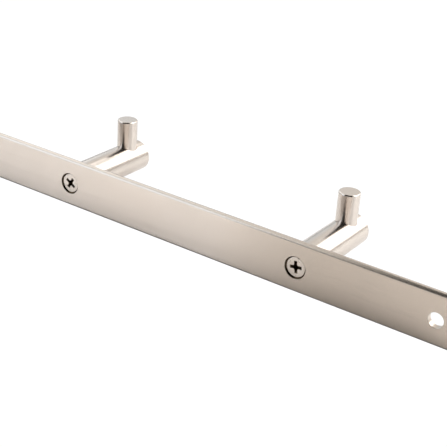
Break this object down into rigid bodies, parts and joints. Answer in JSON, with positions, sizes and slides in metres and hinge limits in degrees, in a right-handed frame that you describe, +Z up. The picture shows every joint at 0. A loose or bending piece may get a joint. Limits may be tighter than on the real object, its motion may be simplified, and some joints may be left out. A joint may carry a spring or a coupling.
{
  "type": "wall hook rack",
  "caption": "Flat metal wall rail with a row of round peg hooks, each screwed on from behind and tipped with an upright pin.",
  "frame": {"origin": "middle of the row of the rail's holes, on the rail's back, which lies on the wall", "axes": "+X along the rail, to the right as seen from the room; +Y into the wall, so the pegs point along -Y; +Z up"},
  "size_m": [0.6, 0.0465, 0.0296],
  "materials": {
    "rail_nickel": "satin nickel, brushed along the rail",
    "hook_nickel": "satin nickel, turned",
    "screw_plating": "nickel plate, satin"
  },
  "bodies": {
    "root": {"rail": "rail_nickel", "peg_1": "hook_nickel", "peg_2": "hook_nickel", "peg_3": "hook_nickel", "peg_4": "hook_nickel", "peg_5": "hook_nickel", "pin_1": "hook_nickel", "pin_2": "hook_nickel", "pin_3": "hook_nickel", "pin_4": "hook_nickel", "pin_5": "hook_nickel", "screw_1": "screw_plating", "screw_2": "screw_plating", "screw_3": "screw_plating", "screw_4": "screw_plating", "screw_5": "screw_plating"}
  },
  "joints": []
}
